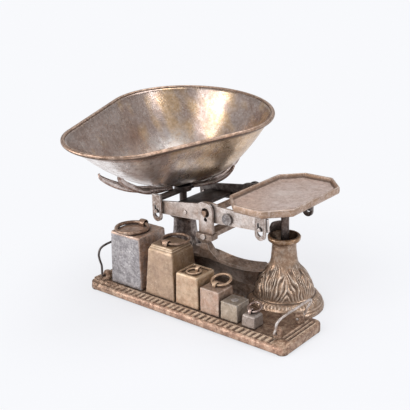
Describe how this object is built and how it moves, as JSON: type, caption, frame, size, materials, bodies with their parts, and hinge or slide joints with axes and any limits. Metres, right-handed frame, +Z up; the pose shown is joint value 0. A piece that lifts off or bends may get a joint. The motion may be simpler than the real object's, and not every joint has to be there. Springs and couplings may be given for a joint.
{
  "type": "counter balance",
  "caption": "Cast-iron equal-arm counter balance: pouring scoop on one side, eight-sided plate on the other, square ring-topped weights on a tray",
  "frame": {"origin": "middle of the base's underside, on the floor below the beam's pivot", "axes": "+X along the beam to the plate, +Y to the back, +Z up"},
  "size_m": [0.3644, 0.332, 0.2454],
  "materials": {
    "cast_frame": "worn bronze-brown cast iron",
    "dark_iron": "dark forged iron",
    "worn_steel": "worn bare steel",
    "scoop_sheet": "tinned sheet worn to brown",
    "plate_metal": "worn tan metal plate",
    "weight_iron": "iron with a brassy brown patina",
    "grey_iron": "grey iron"
  },
  "bodies": {
    "base": {"left_pillar": "cast_frame", "right_pillar": "cast_frame", "base_plinth": "cast_frame", "fulcrum_bow": "cast_frame", "fulcrum_bridge": "cast_frame", "front_fulcrum_plate": "worn_steel", "rear_fulcrum_plate": "dark_iron", "front_fulcrum_screw": "worn_steel", "rear_fulcrum_screw": "worn_steel", "check_lever_bracket": "dark_iron", "check_lever_pin": "worn_steel", "weight_tray": "cast_frame", "left_front_bail_lug": "cast_frame", "left_rear_bail_lug": "cast_frame", "right_front_bail_lug": "cast_frame", "right_rear_bail_lug": "cast_frame"},
    "beam": {"beam_front_bar": "worn_steel", "beam_rear_bar": "dark_iron", "beam_cross_plate": "dark_iron", "fulcrum_knife": "worn_steel", "left_front_end_knife": "worn_steel", "left_rear_end_knife": "worn_steel", "right_front_end_knife": "worn_steel", "right_rear_end_knife": "worn_steel", "balance_tube": "grey_iron", "balance_plug": "grey_iron", "front_beam_rivet": "worn_steel", "rear_beam_rivet": "worn_steel"},
    "left_carrier": {"left_bracket": "dark_iron", "left_front_link": "worn_steel", "left_rear_link": "worn_steel", "left_stem": "dark_iron", "left_stem_pin": "worn_steel", "left_cradle_fork": "dark_iron", "right_cradle_fork": "dark_iron"},
    "scoop": {"scoop": "scoop_sheet"},
    "right_carrier": {"right_bracket": "dark_iron", "right_front_link": "worn_steel", "right_rear_link": "worn_steel", "right_stem": "dark_iron", "right_stem_pin": "worn_steel", "weight_plate": "plate_metal"},
    "check_lever": {"check_lever": "dark_iron"},
    "left_bail": {"left_bail": "dark_iron"},
    "right_bail": {"right_bail": "grey_iron"},
    "largest_weight": {"largest_weight": "grey_iron"},
    "second_weight": {"second_weight": "weight_iron"},
    "third_weight": {"third_weight": "weight_iron"},
    "fourth_weight": {"fourth_weight": "weight_iron"},
    "fifth_weight": {"fifth_weight": "weight_iron", "plug_of_fifth_weight": "grey_iron"},
    "smallest_weight": {"smallest_weight": "weight_iron"},
    "ring_of_largest": {"ring_of_largest_weight": "weight_iron"},
    "ring_of_second": {"ring_of_second_weight": "weight_iron"},
    "ring_of_third": {"ring_of_third_weight": "weight_iron"},
    "ring_of_fourth": {"ring_of_fourth_weight": "weight_iron"},
    "ring_of_smallest": {"ring_of_smallest_weight": "weight_iron"}
  },
  "joints": [
    {"name": "beam_tilt", "type": "hinge", "parent": "base", "child": "beam", "pos_m": [0, 0, 0.1195], "axis": [0, 1, 0], "range_deg": [0, 7]},
    {"name": "left_hang", "type": "hinge", "parent": "beam", "child": "left_carrier", "pos_m": [-0.08434, 0, 0.11434], "axis": [0, 1, 0], "range_deg": [-7, 0]},
    {"name": "right_hang", "type": "hinge", "parent": "beam", "child": "right_carrier", "pos_m": [0.08434, 0, 0.12466], "axis": [0, 1, 0], "range_deg": [-7, 0]},
    {"name": "lever_tilt", "type": "hinge", "parent": "base", "child": "check_lever", "pos_m": [0, 0, 0.015], "axis": [0, 1, 0], "range_deg": [0, 7]},
    {"name": "scoop_lift", "type": "slide", "parent": "left_carrier", "child": "scoop", "axis": [0, 0, 1], "range_m": [0, 0.1]},
    {"name": "left_bail_swing", "type": "hinge", "parent": "base", "child": "left_bail", "pos_m": [-0.1415, -0.0755, 0.02], "axis": [0, 1, 0], "range_deg": [-80, 8]},
    {"name": "right_bail_swing", "type": "hinge", "parent": "base", "child": "right_bail", "pos_m": [0.1415, -0.0755, 0.02], "axis": [0, 1, 0], "range_deg": [-75, 60]},
    {"name": "largest_weight_slide", "type": "slide", "parent": "base", "child": "largest_weight", "axis": [0, -1, 0], "range_m": [0, 0.08]},
    {"name": "second_weight_slide", "type": "slide", "parent": "base", "child": "second_weight", "axis": [0, -1, 0], "range_m": [0, 0.08]},
    {"name": "third_weight_lift", "type": "slide", "parent": "base", "child": "third_weight", "axis": [0, 0, 1], "range_m": [0, 0.08]},
    {"name": "fourth_weight_lift", "type": "slide", "parent": "base", "child": "fourth_weight", "axis": [0, 0, 1], "range_m": [0, 0.08]},
    {"name": "fifth_weight_lift", "type": "slide", "parent": "base", "child": "fifth_weight", "axis": [0, 0, 1], "range_m": [0, 0.08]},
    {"name": "smallest_weight_lift", "type": "slide", "parent": "base", "child": "smallest_weight", "axis": [0, 0, 1], "range_m": [0, 0.08]},
    {"name": "largest_ring_swing", "type": "hinge", "parent": "largest_weight", "child": "ring_of_largest", "pos_m": [-0.1064, -0.0585, 0.0904], "axis": [-1, 0, 0], "range_deg": [0, 60]},
    {"name": "second_ring_swing", "type": "hinge", "parent": "second_weight", "child": "ring_of_second", "pos_m": [-0.039, -0.087, 0.0857], "axis": [1, 0, 0], "range_deg": [0, 90]},
    {"name": "third_ring_swing", "type": "hinge", "parent": "third_weight", "child": "ring_of_third", "pos_m": [0.0039, -0.0764, 0.0571], "axis": [-1, 0, 0], "range_deg": [0, 90]},
    {"name": "fourth_ring_swing", "type": "hinge", "parent": "fourth_weight", "child": "ring_of_fourth", "pos_m": [0.041, -0.0882, 0.0493], "axis": [1, 0, 0], "range_deg": [0, 75]},
    {"name": "smallest_ring_swing", "type": "hinge", "parent": "smallest_weight", "child": "ring_of_smallest", "pos_m": [0.099, -0.0935, 0.0321], "axis": [1, 0, 0], "range_deg": [0, 70]}
  ],
  "couplings": [
    {"joint": "left_hang", "follows": "beam_tilt", "ratio": -1},
    {"joint": "right_hang", "follows": "beam_tilt", "ratio": -1},
    {"joint": "lever_tilt", "follows": "beam_tilt", "ratio": 1}
  ]
}
